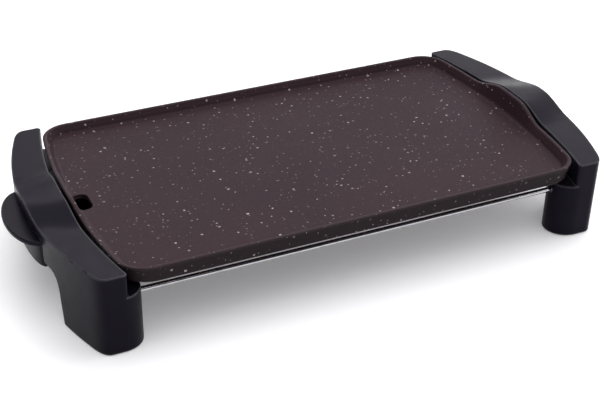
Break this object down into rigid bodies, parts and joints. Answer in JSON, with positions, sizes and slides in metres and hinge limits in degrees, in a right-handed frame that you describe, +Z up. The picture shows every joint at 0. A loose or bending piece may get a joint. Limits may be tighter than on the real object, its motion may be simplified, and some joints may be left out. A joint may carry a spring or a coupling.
{
  "type": "electric griddle",
  "caption": "Table-top electric griddle: rimmed speckled plate on two humped end brackets, steel tie rods, slide-out drip tray and plug-in thermostat inlet.",
  "frame": {"origin": "centre of the footprint, tray lip included, on the table under the feet", "axes": "+X along the length towards the power inlet, -Y towards the cook, +Z up"},
  "size_m": [0.554, 0.282, 0.0875],
  "materials": {
    "stone_coating": "satin non-stick coating, dark brown-grey with fine pale stone speckles",
    "black_plastic": "satin moulded plastic with fine grain",
    "steel": "bright plated steel",
    "element_sheath": "heat-tinted matt metal sheath",
    "brass": "bright",
    "phenolic": "matt heat-resistant moulding",
    "rubber": "matt rubber"
  },
  "bodies": {
    "base": {"left_bracket": "black_plastic", "right_bracket": "black_plastic", "front_rod": "steel", "rear_rod": "steel", "rod_nut_front_left": "steel", "rod_nut_rear_left": "steel", "rod_nut_front_right": "steel", "rod_nut_rear_right": "steel", "foot_front_left": "rubber", "foot_rear_left": "rubber", "foot_front_right": "rubber", "foot_rear_right": "rubber", "plate_rest_front_left": "phenolic", "plate_rest_rear_left": "phenolic", "plate_rest_front_right": "phenolic", "plate_rest_rear_right": "phenolic", "tray_runner_front": "steel", "tray_runner_rear": "steel", "runner_screw_front": "steel", "runner_screw_rear": "steel"},
    "plate": {"griddle_plate": "stone_coating", "heating_element": "element_sheath", "element_clamp_1": "steel", "element_clamp_2": "steel", "element_clamp_3": "steel", "element_clamp_4": "steel", "element_clamp_screw_1": "steel", "element_clamp_screw_2": "steel", "element_clamp_screw_3": "steel", "element_clamp_screw_4": "steel", "inlet_shroud": "steel", "terminal_block": "phenolic", "probe_sleeve": "steel", "terminal_pin_live": "brass", "terminal_pin_neutral": "brass"},
    "tray": {"drip_tray": "black_plastic"}
  },
  "joints": [
    {"name": "plate_lift", "type": "slide", "parent": "base", "child": "plate", "axis": [0, 0, 1], "range_m": [0, 0.06]},
    {"name": "tray_slide", "type": "slide", "parent": "base", "child": "tray", "axis": [-1, 0, 0], "range_m": [0, 0.11]}
  ]
}
